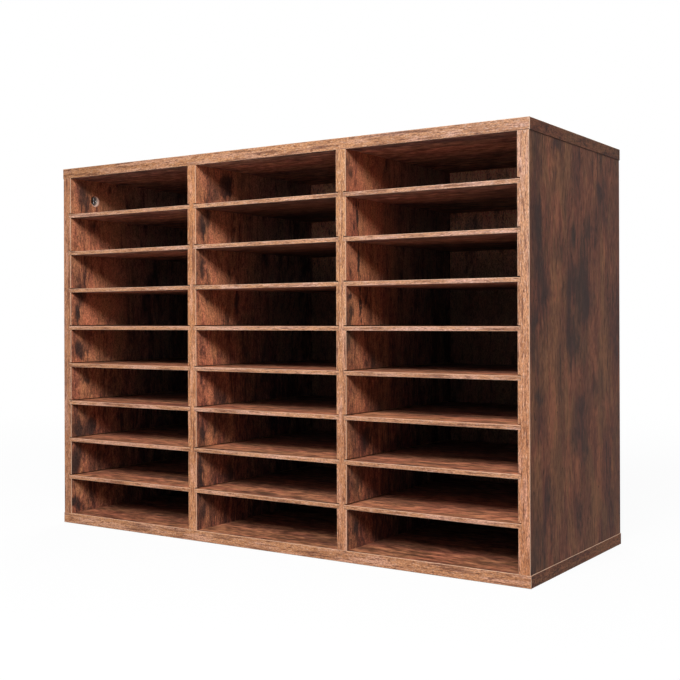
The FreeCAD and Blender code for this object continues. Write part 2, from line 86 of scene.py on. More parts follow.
class Shader:
    """Node tree of one material or world; every argument is a number, a colour or a socket."""

    def __init__(self, holder):
        self.holder = holder
        holder.use_nodes = True
        self.tree = holder.node_tree
        self.tree.nodes.clear()

    def node(self, kind, inputs=(), **settings):
        """New node, with its inputs by the socket's name or number."""
        node = self.tree.nodes.new("ShaderNode" + kind)
        for key, value in settings.items():
            setattr(node, key, value)
        for key, value in dict(inputs).items():
            if isinstance(value, bpy.types.NodeSocket):
                self.tree.links.new(value, node.inputs[key])
            else:
                node.inputs[key].default_value = value
        return node

    def math(self, operation, *values):
        return self.node("Math", enumerate(values), operation=operation).outputs[0]

    def vector(self, operation, *values):
        return self.node("VectorMath", enumerate(values), operation=operation).outputs[0]

    def length(self, value):
        return self.node("VectorMath", {0: value}, operation="LENGTH").outputs["Value"]

    def split(self, value):
        return self.node("SeparateXYZ", {0: value}).outputs

    def join(self, *values):
        return self.node("CombineXYZ", enumerate(values)).outputs[0]

    def place(self):
        """Object coordinates, which a piece keeps when its joint moves it."""
        return self.node("TexCoord").outputs["Object"]

    def normal(self, axis):
        """The surface's normal along one axis, from -1 to 1."""
        return self.split(self.node("TexCoord").outputs["Normal"])[axis]

    def facing(self, axis):
        """How squarely the surface faces along an axis, either way, from 0 to 1."""
        return self.math("ABSOLUTE", self.normal(axis))

    def noise(self, at, scale, detail=2.0, roughness=0.5):
        """Noise from 0 to 1 with its own scale along each axis."""
        stretched = self.vector("MULTIPLY", at, scale)
        return self.node("TexNoise", {"Vector": stretched, "Scale": 1.0, "Detail": detail,
                                      "Roughness": roughness}).outputs[0]

    def step(self, value, low, high, bottom=0.0, top=1.0):
        """Smooth change from bottom to top while the value goes from low to high."""
        values = enumerate((value, low, high, bottom, top))
        return self.node("MapRange", values, interpolation_type="SMOOTHSTEP").outputs[0]

    def mix(self, share, first, second, mode="MIX"):
        inputs = {0: share, 6: first, 7: second}
        return self.node("Mix", inputs, data_type="RGBA", blend_type=mode).outputs[2]

    def tinted(self, colour, tint):
        """One colour multiplied by another."""
        return self.mix(1.0, colour, tint, "MULTIPLY")

    def shaded(self, colour, light):
        """A colour multiplied by a number."""
        return self.tinted(colour, self.join(light, light, light))

    def offset(self, value, noise, reach):
        """Shift a value by a noise, by reach at most either way."""
        return self.math("MULTIPLY_ADD", self.math("SUBTRACT", noise, 0.5), 2 * reach, value)

    def relief(self, height, depth):
        """Normal of a surface whose height, from 0 to 1, stands for a depth in metres."""
        return self.node("Bump", {"Strength": RELIEF_STRENGTH, "Distance": depth,
                                  "Height": height}).outputs[0]

    def seen(self):
        """1 for what the camera, a gloss or glass sees, 0 for light that bounces on."""
        rays = self.node("LightPath").outputs
        direct = self.math("MAXIMUM", rays["Is Camera Ray"], rays["Is Glossy Ray"])
        return self.math("MAXIMUM", direct, rays["Is Transmission Ray"])

    def finish(self, **inputs):
        """Principled surface with the given inputs; underscores stand for spaces."""
        values = {key.replace("_", " "): value for key, value in inputs.items()}
        surface = self.node("BsdfPrincipled", values)
        output = self.node("OutputMaterial")
        self.tree.links.new(surface.outputs[0], output.inputs[0])
        return self.holder


def new_material(name):
    return Shader(bpy.data.materials.new(name))


# ---- Studio ----------------------------------------------------------------------------
FLOOR_SIDE = 30.0
FLOOR_DROP = 0.0005
FLOOR_WHITENESS = 0.93             # near the object; the rest there is the floor and its shadow
NEAR_FLOOR, FAR_FLOOR = 0.8, 2.5   # the floor turns fully white between these distances
FLOOR_SEEN = rgb(0.8, 0.8, 0.8)
FLOOR_BOUNCE = rgb(0.12, 0.14, 0.16)   # dim to bounced light, so that deep compartments stay dark
WORLD_FILL = 0.10
COOL = rgb(0.85, 1.0, 1.15)
SOFTBOXES = {
    "key": dict(at=(0.9, -2.27, 1.77), aim=(0.1, -0.15, 0.27), size=(2.2, 0.85), watts=135),
    "fill": dict(at=(0.35, -1.4, 0.60), aim=(0.0, 0.0, 0.5), size=(0.9, 0.2), watts=0.8),
    "rear": dict(at=(-1.1, 2.3, 1.5), aim=(0.0, 0.15, 0.27), size=(2.0, 0.8), watts=42)}


def softbox(name, at, aim, size, watts):
    """Rectangular area light, shining from one point towards another."""
    data = bpy.data.lights.new(name, "AREA")
    data.shape = "RECTANGLE"
    data.size, data.size_y = size
    data.energy = watts
    lamp = bpy.data.objects.new(name, data)
    toward = Vector(aim) - Vector(at)
    lamp.rotation_euler = toward.to_track_quat("-Z", "Y").to_euler()
    lamp.location = at
    scene.collection.objects.link(lamp)


def make_world():
    """White where the camera, a gloss or glass looks out; a dim even fill for the rest."""
    scene.world = bpy.data.worlds.new("studio")
    sky = Shader(scene.world)
    fill = sky.node("Background", {"Color": COOL, "Strength": WORLD_FILL})
    white = sky.node("Background", {"Color": WHITE})
    mixed = sky.node("MixShader", {0: sky.seen(), 1: fill.outputs[0], 2: white.outputs[0]})
    sky.node("OutputWorld", {0: mixed.outputs[0]})


def make_floor():
    """Pale floor that runs into the white background and keeps a faint shadow."""
    mesh = bpy.data.meshes.new("floor")
    half = FLOOR_SIDE / 2
    corners = [(-half, -half, 0), (half, -half, 0), (half, half, 0), (-half, half, 0)]
    mesh.from_pydata(corners, [], [(0, 1, 2, 3)])
    floor = bpy.data.objects.new("floor", mesh)
    floor.location.z = -FLOOR_DROP
    scene.collection.objects.link(floor)
    pale = new_material("pale_floor")
    seen = pale.seen()
    whiteness = pale.step(pale.length(pale.place()), NEAR_FLOOR, FAR_FLOOR, FLOOR_WHITENESS, 1.0)
    share = pale.math("MULTIPLY", seen, whiteness)
    matt = pale.node("BsdfDiffuse", {"Color": pale.mix(seen, FLOOR_BOUNCE, FLOOR_SEEN)})
    glow = pale.node("Emission", {"Color": WHITE})
    mixed = pale.node("MixShader", {0: share, 1: matt.outputs[0], 2: glow.outputs[0]})
    pale.node("OutputMaterial", {0: mixed.outputs[0]})
    mesh.materials.append(pale.holder)


# ---- Wood finishes ---------------------------------------------------------------------
# A board's own space: the object's axes in the order along the grain, across it, through.
GRAIN_X_FACING_Z = (0, 1, 2)
GRAIN_X_FACING_Y = (0, 2, 1)
GRAIN_Y_FACING_X = (1, 2, 0)
GRAIN_Z_FACING_X = (2, 1, 0)
GRAIN_Z_FACING_Y = (2, 0, 1)
THROUGH = 7.0              # the pattern changes this much faster through a board
SEAM = 0.001               # width of the change from one face's look to the next one's
MIDDLE_Z = (cad_low[2] + cad_high[2]) / 2
# The look of the compartments ends inside the outer boards, this far from the middle.
INNER_X = middle_of("right_side_panel", 0) - SEAM / 2
INNER_Z = middle_of("top_panel", 2) - MIDDLE_Z - SEAM / 2

LIGHT_BROWN = rgb(0.366, 0.146, 0.074)
MID_BROWN = rgb(0.205, 0.075, 0.043)
DEEP_BROWN = rgb(0.072, 0.029, 0.022)
CHARCOAL = rgb(0.031, 0.0195, 0.017)
REDDER = rgb(1.04, 0.93, 0.97)
YELLOWER = rgb(0.98, 1.03, 0.98)
TAN = rgb(0.420, 0.188, 0.082)
PINK_TAN = rgb(0.480, 0.235, 0.134)
OCHRE = rgb(0.330, 0.138, 0.058)
FLECK = rgb(0.100, 0.030, 0.014)
# Cream: pale specks in the strips' print, and the painted highlight on rounded arrises.
CREAM = rgb(0.580, 0.385, 0.270)
CHIP_PALE = rgb(0.640, 0.480, 0.340)
CHIP_DARK = rgb(0.380, 0.250, 0.160)
# Pale colour of the painted highlight round a bore, and of a small pale spot under one shelf.
PALE_SPOT_COLOUR = rgb(0.800, 0.560, 0.450)
# Painted shade: colours that the print is multiplied by where it lies deep in a compartment, on the
# back panel, and where it faces down.
DEEP_SHADE_TINT = rgb(0.72, 1.19, 1.90)      # on what is deep inside a compartment
BACK_SHADE_TINT = rgb(0.77, 1.06, 1.40)      # the same on the back panel
UNDER_SHADE_TINT = rgb(1.12, 1.62, 2.25)     # on what faces down
DEEP_FROM, DEEP_TO = -0.12, 0.10       # the deep cast sets in between these depths
DOWNWARD = (-0.9, -0.2)    # the normal's height of what faces down, and where that look ends
# Painted highlight: the rounded edges of the fronts are painted cream.
ARRIS = (0.75, 0.97)       # how squarely a front faces forward at its rounded edges' two ends

# Layers of noise: scale along, across and through the grain per metre, detail, and roughness
# where it isn't 0.5.
WANDER, WANDER_REACH = ((2.6, 9, 9), 2), 0.022     # slow bends of the grain lines
WAVER, WAVER_REACH = ((16, 40, 40), 2), 0.0045     # quicker and smaller ones
STREAK = ((17, 210, 210), 4, 0.65)
MOTTLE = ((90, 260, 260), 3, 0.6)
PORE = ((70, 1250, 1250), 2, 0.6)
CRACK = ((22, 170, 170), 1)
HUE = ((11, 34, 34), 4, 0.65)
STRIP_PATCH = ((28, 110, 110), 3, 0.6)
STRIP_BLUSH = ((18, 130, 130), 2)
STRIP_GLINT = ((150, 620, 620), 2)
STRIP_LINE = ((18, 330, 330), 3, 0.65)
STRIP_DASH = ((80, 620, 620), 3, 0.65)
STRIP_SPECK = ((340, 800, 800), 2, 0.6)

# Smooth steps: where each begins and ends, and its values there where they aren't 0 and 1.
KNOT_CHOSEN = (0.58, 0.62)             # by a cell's random number
KNOT_PULL = (0.05, 0.36, 0.6, 0)       # by the distance from its middle, in cells
KNOT_CORE = (0.03, 0.13, 0.85, 0)
DEEP_TO_MID, MID_TO_LIGHT = (0.40, 0.50), (0.48, 0.58)     # by the level of the brown
CRACK_FADE = (0.004, 0.018, 0.6, 0)    # by the noise's distance from the level of a crack
PORE_LIGHT = (0.25, 0.6, 0.75, 1.10)   # brightness, by the noise of the pores
PRINT_GLOSS, STRIP_GLOSS = (0.2, 0.7, 0.62, 0.5), (0.3, 0.6, 0.6, 0.48)    # by the height
OCHRE_TO_TAN, PINKER, PALER = (0.34, 0.58), (0.48, 0.68), (0.52, 0.68, 0, 0.35)
LINES, DASHES = (0.35, 0.47), (0.36, 0.48)     # in a strip, where its noise is low
COVERED = (0.6, 0.9)       # by how squarely a shelf's face looks up or down: core to print
ROUNDED = (0.9, 0.985, 1, 0)           # the same, at its front: strip to print
UNDER_SPOT_FADE = (0.5, 1.2, 0.8, 0)         # in half sizes
# Painted highlight: an end band's upward-facing arris is painted cream.
END_ARRIS = (0.1, 0.6, 0, 0.75)        # by the normal's height

KNOT_CELLS = (4.2, 12, 12)         # cells per metre that may hold a knot
CRACK_LEVEL = 0.62     # cracks lie where their noise passes this
RAGGED_ACROSS, RAGGED_ALONG = 0.010, 0.040     # how far the marks' outlines stray
SPOT_CORE, SPOT_END = 0.1, 1.5     # in a spot's half sizes: where it starts to fade, and ends
SPOT_SHADE = 0.35      # share of a spot's strength that also darkens the wood's own brown
FULL_HAZE, MOST_CHARCOAL = 0.26, 0.85  # the haze that gives the most charcoal, and its share
SHADED_SHARE = 0.26           # brightness left below a board's painted light, where its print is painted in shade
FINE_GRIT = (420, 680, 680)        # specks a millimetre or two across
FLAT_GRAIN = dict(flames=(5, 48, 48), clouds=(6, 26, 26), streaks=0.30,
                  grit=(50, 120, 120), rough=0.50)   # long wavy streaks, on what lies flat
SHELF_LOOKS = dict(tone=0.045, **FLAT_GRAIN)
# Painted light and shade: a shelf's print is brighter underneath than on top.
SHELF_UNDER, SHELF_TOP = 1.2, 1.13     # brightness of the print on a shelf's two faces
SHELF_FLECKS = 0.75                    # strength of the dark flecks in a shelf's strip
PRINT_DEPTH = 0.0002       # the print is this deep under a face, and ends as far below that
CORE_CELLS, CORE_GRIT = 520.0, 1400    # chips and grains per metre in the raw core
PRINT_RELIEF, STRIP_RELIEF, END_RELIEF = 0.0002, 0.00012, 0.00015
STRIP_DEPTH, STRIP_SEAM = 0.0008, 0.0004   # a shelf's edge strip, and its change to the print
RIM_LIGHT_ASIDE, RIM_LIGHT_BELOW = 0.0013, 0.0009    # how far the painted highlight round a bore is off its middle
RIM_LIGHT_RADIUS, RIM_LIGHT_SEAM, RIM_LIGHT_SHARE = 0.0080, 0.0008, 0.9
UNDER_SPOT_LONG, UNDER_SPOT_WIDE = 0.011, 0.006    # half sizes
FAR_OFF = 9            # in half sizes, so that the pale spot under a shelf doesn't show on other faces


def board_space(shader, axes):
    """Object coordinates along, across and through the grain, and the last one stretched."""
    parts = shader.split(shader.place())
    along, across, through = (parts[axis] for axis in axes)
    return along, across, through, shader.math("MULTIPLY", through, THROUGH)


def marks(shader, across, along, spots):
    """Soft hand-placed spots added up, each (across, along, half width, half length, strength)."""
    total = 0.0
    for middle, height, wide, tall, strength in spots:
        turned = shader.node("VectorMath", {
            0: shader.join(across, along, 0.0), 1: (1 / wide, 1 / tall, 0),
            2: (-middle / wide, -height / tall, 0)}, operation="MULTIPLY_ADD").outputs[0]
        spot = shader.step(shader.length(turned), SPOT_CORE, SPOT_END, strength, 0)
        total = shader.math("ADD", total, spot)
    return total


def knots(shader, plain, across):
    """A knot in a few cells of a stretched pattern: how far it parts the grain, and its core."""
    cell = shader.node("TexVoronoi", {"Vector": shader.vector("MULTIPLY", plain, KNOT_CELLS),
                                      "Scale": 1.0}).outputs
    chosen = shader.step(shader.split(cell["Color"])[0], *KNOT_CHOSEN)
    centre = shader.math("DIVIDE", shader.split(cell["Position"])[1], KNOT_CELLS[1])
    pull = shader.math("MULTIPLY", shader.step(cell["Distance"], *KNOT_PULL), chosen)
    aside = shader.math("MULTIPLY", shader.math("SUBTRACT", across, centre), pull)
    core = shader.math("MULTIPLY", shader.step(cell["Distance"], *KNOT_CORE), chosen)
    return aside, core


def decor(shader, along, across, through, shade=1.0, tone=0.0, tilt=0.0, smoke=0.0, spots=(),
          blotch=1.0, soft=0.0, smear=0.14, figure=0.36, streaks=0.26, flames=(8, 45, 45),
          clouds=(12, 26, 26), grit=FINE_GRIT, rough=0.4, hues=(0.38, 0.62)):
    """Rustic brown wood print: colour, and a height from 0 to 1 for gloss and relief.

    Tone makes the wood paler, tilt makes it paler per metre along; smoke and blotch add
    charcoal, soft blurs it and smear drags it along the grain; figure and streaks are the
    shares of the broad and the fine grain; flames and clouds are the scales of the broad one
    and of the charcoal, and grit and rough the specks' scale and strength. The closer the two
    hues are, the more the redder and the yellower patches differ.
    """
    plain = shader.join(along, across, through)
    aside, core = knots(shader, plain, across)
    # The grain lines wander, waver and part round the knots.
    bent = shader.offset(across, shader.noise(plain, *WANDER), WANDER_REACH)
    bent = shader.offset(bent, shader.noise(plain, *WAVER), WAVER_REACH)
    bent = shader.math("SUBTRACT", bent, aside)
    grain = shader.join(along, bent, through)
    broad = shader.noise(grain, flames, 3, 0.6)
    streak = shader.noise(grain, *STREAK)
    mottle = shader.noise(grain, *MOTTLE)
    pore = shader.noise(grain, *PORE)
    cloud = shader.noise(grain, clouds, 4, 0.62)
    # Brown tones.
    level = shader.math("MULTIPLY_ADD", along, tilt, tone - MIDDLE_Z * tilt)
    level = shader.math("MULTIPLY_ADD", broad, figure, level)
    level = shader.math("MULTIPLY_ADD", streak, streaks, level)
    level = shader.math("MULTIPLY_ADD", mottle, 1 - figure - streaks, level)
    ragged_across = shader.offset(bent, mottle, RAGGED_ACROSS)
    ragged_along = shader.offset(along, cloud, RAGGED_ALONG)
    spotted = marks(shader, ragged_across, ragged_along, spots)
    level = shader.math("MULTIPLY_ADD", spotted, -SPOT_SHADE, level)
    low = shader.mix(shader.step(level, *DEEP_TO_MID), DEEP_BROWN, MID_BROWN)
    colour = shader.mix(shader.step(level, *MID_TO_LIGHT), low, LIGHT_BROWN)
    hue = shader.noise(plain, *HUE)
    colour = shader.tinted(colour, shader.mix(shader.step(hue, *hues), REDDER, YELLOWER))
    # Smoky charcoal areas, then the knots' cores.
    haze = shader.math("MULTIPLY", shader.math("SUBTRACT", cloud, 0.5), blotch)
    haze = shader.offset(haze, streak, smear)
    haze = shader.math("ADD", shader.math("ADD", haze, smoke), spotted)
    charcoal = shader.step(haze, -soft, FULL_HAZE + soft, 0, MOST_CHARCOAL)
    colour = shader.mix(charcoal, colour, CHARCOAL)
    colour = shader.mix(core, colour, CHARCOAL)
    # Short cracks, pores and specks.
    crack = shader.noise(grain, *CRACK)
    thin = shader.math("ABSOLUTE", shader.math("SUBTRACT", crack, CRACK_LEVEL))
    thin = shader.step(thin, *CRACK_FADE)
    colour = shader.mix(thin, colour, CHARCOAL)
    light = shader.step(pore, *PORE_LIGHT)
    speck = shader.step(shader.noise(grain, grit, 2, 0.6), 0.3, 0.7, 1 - rough, 1 + rough)
    light = shader.math("MULTIPLY", shader.math("MULTIPLY", light, speck), shade)
    return shader.shaded(colour, light), shader.math("SUBTRACT", pore, thin)


def chipboard(shader, along, across, through):
    """Raw core of a board: pressed chips, where no print or band covers it."""
    place = shader.join(along, across, through)
    chips = shader.node("TexVoronoi", {"Vector": place, "Scale": CORE_CELLS,
                                       "Randomness": 1.0}).outputs
    speck = shader.split(chips["Color"])[0]
    grit = shader.noise(place, (CORE_GRIT,) * 3, 2)
    mixed = shader.math("MULTIPLY_ADD", grit, 0.5, shader.math("MULTIPLY", speck, 0.6))
    return shader.mix(shader.step(mixed, 0.25, 0.8), CHIP_DARK, CHIP_PALE)


def strip(shader, along, across, through, flecks=0.85):
    """Tan edge strip with short dark dashes along it: colour, and the dashes' height."""
    place = shader.join(along, across, through)
    patch = shader.noise(place, *STRIP_PATCH)
    colour = shader.mix(shader.step(patch, *OCHRE_TO_TAN), OCHRE, TAN)
    blush = shader.noise(place, *STRIP_BLUSH)
    colour = shader.mix(shader.step(blush, *PINKER), colour, PINK_TAN)
    glint = shader.noise(place, *STRIP_GLINT)
    colour = shader.mix(shader.step(glint, *PALER), colour, CREAM)
    line = shader.noise(place, *STRIP_LINE)
    colour = shader.mix(shader.step(line, *LINES, 0.9 * flecks, 0), colour, FLECK)
    dash = shader.noise(place, *STRIP_DASH)
    colour = shader.mix(shader.step(dash, *DASHES, flecks, 0), colour, FLECK)
    speck = shader.noise(place, *STRIP_SPECK)
    light = shader.step(speck, 0.32, 0.68, 1 - 0.38 * flecks, 1 + 0.46 * flecks)
    return shader.shaded(colour, light), dash


def painted_shade_tint(shader, colour, deep_cast=DEEP_SHADE_TINT):
    """Painted shade: print turns less red towards the rear of the compartments, and less red and
    paler where boards and shelves face down.
    """
    place = shader.split(shader.place())
    aside = shader.step(shader.math("ABSOLUTE", place[0]), INNER_X, INNER_X + SEAM, 1, 0)
    off_middle = shader.math("ABSOLUTE", shader.math("SUBTRACT", place[2], MIDDLE_Z))
    level = shader.step(off_middle, INNER_Z, INNER_Z + SEAM, 1, 0)
    within = shader.math("MULTIPLY", aside, level)
    deep = shader.math("MULTIPLY", within, shader.step(place[1], DEEP_FROM, DEEP_TO))
    cast = shader.mix(deep, WHITE, deep_cast)
    cast = shader.mix(shader.step(shader.normal(2), *DOWNWARD, 1, 0), cast, UNDER_SHADE_TINT)
    return shader.tinted(colour, cast)


def finish_print(shader, colour, height, gleam):
    """Surface of the print, a little duller in its pores."""
    gloss = shader.step(height, *PRINT_GLOSS)
    return shader.finish(Base_Color=colour, Roughness=gloss, Specular_IOR_Level=gleam,
                         Normal=shader.relief(height, PRINT_RELIEF))


def board(node, axes, outer=(0, 1.0), shade=1.0, gleam=0.2, lit_span=None, bore=None,
          cast=DEEP_SHADE_TINT, **looks):
    """Printed board: wood print on its two broad faces, raw chipboard everywhere else.

    Outer is the direction that one of the faces looks in and how bright its print is there; that
    the two faces differ in brightness is painted light and shade.
    The painted-light span is the span along the board over which the print gets up to its full
    brightness; below it the print is painted in shade.
    Bore is the middle, across and along, of a bore in the face that isn't the outer one, with
    a painted highlight round its lower rear edge. Cast is the painted shade colour that deep
    print's colour is multiplied by.
    """
    shader = new_material(node)
    along, across, through, deep = board_space(shader, axes)
    low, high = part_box(node)
    axis = axes[2]
    middle, half = (low[axis] + high[axis]) / 2, (high[axis] - low[axis]) / 2
    if lit_span:
        shade = shader.step(along, *lit_span, SHADED_SHARE * shade, shade)
    if outer[0]:
        outward = shader.math("MULTIPLY_ADD", through, outer[0], -outer[0] * middle)
        shade = shader.step(outward, -SEAM, SEAM, shade, outer[1])
    colour, height = decor(shader, along, across, deep, shade=shade, **looks)
    colour = painted_shade_tint(shader, colour, cast)
    inward = shader.math("ABSOLUTE", shader.math("SUBTRACT", through, middle))
    printed = shader.step(inward, half - 2 * PRINT_DEPTH, half - PRINT_DEPTH)
    colour = shader.mix(printed, chipboard(shader, along, across, through), colour)
    # Painted highlight: a pale crescent round the bore's lower rear edge.
    if bore:
        aside = shader.math("SUBTRACT", across, bore[0] + RIM_LIGHT_ASIDE)
        above = shader.math("SUBTRACT", along, bore[1] - RIM_LIGHT_BELOW)
        away = shader.length(shader.join(aside, above, 0.0))
        pale_spot = shader.step(away, RIM_LIGHT_RADIUS, RIM_LIGHT_RADIUS + RIM_LIGHT_SEAM, RIM_LIGHT_SHARE, 0)
        colour = shader.mix(shader.step(outward, -SEAM, SEAM, pale_spot, 0), colour, PALE_SPOT_COLOUR)
    return finish_print(shader, colour, height, gleam)


def shelf_board(node, tint, under=1.0, under_spot=None):
    """Thin shelf: wood print above and below, tan strip on its front, raw ends and rear.

    Tint is what the strip's colour is multiplied by, under what the print's brightness is
    multiplied by underneath as painted shade, and the last argument is the middle of a small pale
    spot in that print.
    """
    shader = new_material(node)
    along, across, through, deep = board_space(shader, GRAIN_X_FACING_Z)
    upward = shader.normal(2)
    shade = shader.step(upward, -0.1, 0.1, SHELF_UNDER * under, SHELF_TOP)
    colour, height = decor(shader, along, across, deep, shade=shade, **SHELF_LOOKS)
    colour = painted_shade_tint(shader, colour)
    edge, _ = strip(shader, along, through, across, SHELF_FLECKS)
    edge = shader.tinted(edge, rgb(*tint))
    # Painted highlight on the strip's rounded arrises.
    edge = shader.mix(shader.step(shader.facing(1), *ARRIS), CREAM, edge)
    cover = shader.facing(2)
    core = chipboard(shader, along, across, through)
    colour = shader.mix(shader.step(cover, *COVERED), core, colour)
    strip_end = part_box(node)[0][1] + STRIP_DEPTH
    front = shader.step(across, strip_end, strip_end + STRIP_SEAM, 1, 0)
    tipped = shader.math("MULTIPLY", front, shader.step(cover, *ROUNDED))
    colour = shader.mix(tipped, colour, edge)
    if under_spot:
        aside = shader.math("MULTIPLY_ADD", along, 1 / UNDER_SPOT_LONG, -under_spot[0] / UNDER_SPOT_LONG)
        behind = shader.math("MULTIPLY_ADD", across, 1 / UNDER_SPOT_WIDE, -under_spot[1] / UNDER_SPOT_WIDE)
        away = shader.join(aside, behind, shader.step(upward, *DOWNWARD, 0, FAR_OFF))
        pale_spot = shader.step(shader.length(away), *UNDER_SPOT_FADE)
        colour = shader.mix(pale_spot, colour, PALE_SPOT_COLOUR)
    return finish_print(shader, colour, height, 0.2)


def tan_band(node, axes, tints):
    """Edge band on a front: dashes along it, and a painted highlight on the rounded arris of both
    long sides.

    Tints are the colours that the strip is multiplied by, evenly spaced along the band, and also
    paint shade there.
    """
    shader = new_material(node)
    along, across, _, deep = board_space(shader, axes)
    colour, dash = strip(shader, along, across, deep)
    low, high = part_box(node)
    start, span = low[axes[0]], (high[axes[0]] - low[axes[0]]) / (len(tints) - 1)
    tint = rgb(*tints[0])
    for index, following in enumerate(tints[1:]):
        share = shader.step(along, start + index * span, start + (index + 1) * span)
        tint = shader.mix(share, tint, rgb(*following))
    colour = shader.tinted(colour, tint)
    colour = shader.mix(shader.step(shader.facing(1), *ARRIS, 0.3, 1), CREAM, colour)
    return shader.finish(Base_Color=colour, Roughness=shader.step(dash, *STRIP_GLOSS),
                         Specular_IOR_Level=0.25, Normal=shader.relief(dash, STRIP_RELIEF))


def brown_band(node, shade):
    """Edge band on the end of the top or bottom board: wood print with a painted highlight on its
    upper arris.
    """
    shader = new_material(node)
    along, across, _, deep = board_space(shader, GRAIN_Y_FACING_X)
    colour, height = decor(shader, along, across, deep, shade=shade, tone=0.05, smoke=-0.08)
    colour = shader.mix(shader.step(shader.normal(2), *END_ARRIS), colour, CREAM)
    return shader.finish(Base_Color=colour, Roughness=0.55, Specular_IOR_Level=0.06,
                         Normal=shader.relief(height, END_RELIEF))


# ---- Fittings --------------------------------------------------------------------------
DOWEL_DARK, DOWEL_PALE = rgb(0.42, 0.25, 0.13), rgb(0.66, 0.45, 0.27)
DOWEL_RELIEF, METAL_RELIEF = 0.0001, 0.00003


def metal(name, colour, roughness, stretch):
    """Plated or turned metal with faint scratches along one axis."""
    shader = new_material(name)
    place = shader.place()
    scratch = shader.noise(place, stretch, 3, 0.6)
    dull = shader.noise(place, (300, 300, 300), 2)
    shade = shader.step(dull, 0.3, 0.7, 0.82, 1.0)
    worn = shader.step(scratch, 0.3, 0.7, roughness - 0.06, roughness + 0.1)
    return shader.finish(Base_Color=shader.shaded(rgb(*colour), shade), Metallic=1.0,
                         Roughness=worn, Normal=shader.relief(scratch, METAL_RELIEF))


def beech(name):
    """Pale dowel wood with flecks along the dowel."""
    shader = new_material(name)
    fleck = shader.noise(shader.place(), (1500, 1500, 120), 3, 0.6)
    colour = shader.mix(shader.step(fleck, 0.35, 0.6), DOWEL_DARK, DOWEL_PALE)
    return shader.finish(Base_Color=colour, Roughness=0.65,
                         Normal=shader.relief(fleck, DOWEL_RELIEF))


def dress(node, material):
    """Give a CAD node its finish."""
    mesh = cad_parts[node].data
    mesh.materials.clear()
    mesh.materials.append(material)


# ---- Marks: (across the grain, along it, half width, half length, strength) --
# A strength above 0 darkens the print there, and one below 0 makes it paler. Besides the print's
# own smoky patches and knots, some marks are painted light and shade: pale patches where light
# reaches deeper into a compartment, and dark ones where it is shaded.
SIDE_MARKS = (
    (-0.067, 0.519, 0.012, 0.013, 0.11), (-0.125, 0.470, 0.016, 0.088, 0.09),
    (-0.121, 0.428, 0.014, 0.025, 0.07), (-0.127, 0.368, 0.016, 0.022, 0.14),
    (-0.104, 0.348, 0.018, 0.015, 0.12), (-0.116, 0.331, 0.018, 0.015, 0.10),
    (0.003, 0.501, 0.020, 0.020, 0.08), (0.045, 0.500, 0.018, 0.018, 0.08),
    (0.080, 0.474, 0.016, 0.013, 0.19), (0.099, 0.489, 0.008, 0.015, 0.13),
    (0.097, 0.452, 0.008, 0.020, 0.13), (0.037, 0.423, 0.013, 0.022, 0.14),
    (-0.039, 0.441, 0.014, 0.030, 0.08), (-0.058, 0.387, 0.018, 0.022, 0.13),
    (-0.007, 0.357, 0.034, 0.030, 0.17), (0.027, 0.328, 0.026, 0.025, 0.15),
    (-0.017, 0.300, 0.026, 0.033, 0.14), (-0.014, 0.272, 0.022, 0.022, 0.13),
    (-0.136, 0.316, 0.012, 0.010, 0.11), (-0.130, 0.222, 0.012, 0.010, 0.20),
    (-0.122, 0.182, 0.022, 0.037, 0.10), (0.006, 0.200, 0.020, 0.018, 0.14),
    (0.005, 0.168, 0.026, 0.035, 0.15), (0.054, 0.225, 0.013, 0.011, 0.13),
    (0.121, 0.154, 0.011, 0.015, 0.12), (-0.099, 0.101, 0.013, 0.030, 0.11),
    (-0.008, 0.065, 0.012, 0.027, 0.17), (-0.137, 0.050, 0.016, 0.048, 0.12),
    (0.050, 0.132, 0.016, 0.020, 0.08), (-0.070, 0.494, 0.014, 0.018, -0.08),
    (-0.067, 0.446, 0.016, 0.035, -0.10), (0.070, 0.495, 0.016, 0.015, -0.14),
    (-0.068, 0.353, 0.016, 0.040, -0.11), (0.095, 0.387, 0.012, 0.033, -0.08),
    (0.073, 0.318, 0.018, 0.033, -0.10), (-0.024, 0.239, 0.014, 0.018, -0.10),
    (-0.084, 0.182, 0.022, 0.033, -0.11), (0.094, 0.185, 0.016, 0.022, -0.10),
    (-0.081, 0.121, 0.014, 0.020, -0.08))
LEFT_PANEL_MARKS = (
    (-0.126, 0.498, 0.021, 0.026, 0.22), (-0.143, 0.320, 0.006, 0.018, 0.30),
    (-0.124, 0.370, 0.005, 0.011, 0.16), (-0.053, 0.394, 0.006, 0.009, 0.20),
    (-0.070, 0.307, 0.005, 0.006, 0.26), (-0.098, 0.459, 0.011, 0.008, 0.14),
    (-0.059, 0.514, 0.010, 0.006, 0.12), (-0.140, 0.263, 0.010, 0.017, 0.34),
    (-0.126, 0.215, 0.008, 0.007, 0.18), (-0.142, 0.149, 0.010, 0.018, 0.20),
    (-0.115, 0.149, 0.010, 0.014, 0.34), (-0.137, 0.096, 0.016, 0.025, 0.16),
    (-0.139, 0.026, 0.015, 0.009, 0.34), (-0.075, 0.497, 0.026, 0.015, -0.20),
    (-0.128, 0.434, 0.014, 0.013, -0.02), (-0.120, 0.322, 0.016, 0.021, -0.38),
    (-0.108, 0.262, 0.018, 0.015, -0.22), (-0.098, 0.144, 0.008, 0.011, -0.22),
    (-0.126, 0.046, 0.011, 0.013, -0.20), (-0.134, 0.203, 0.012, 0.008, -0.16),
    (-0.058, 0.365, 0.032, 0.110, -0.34), (-0.062, 0.270, 0.024, 0.030, -0.16))
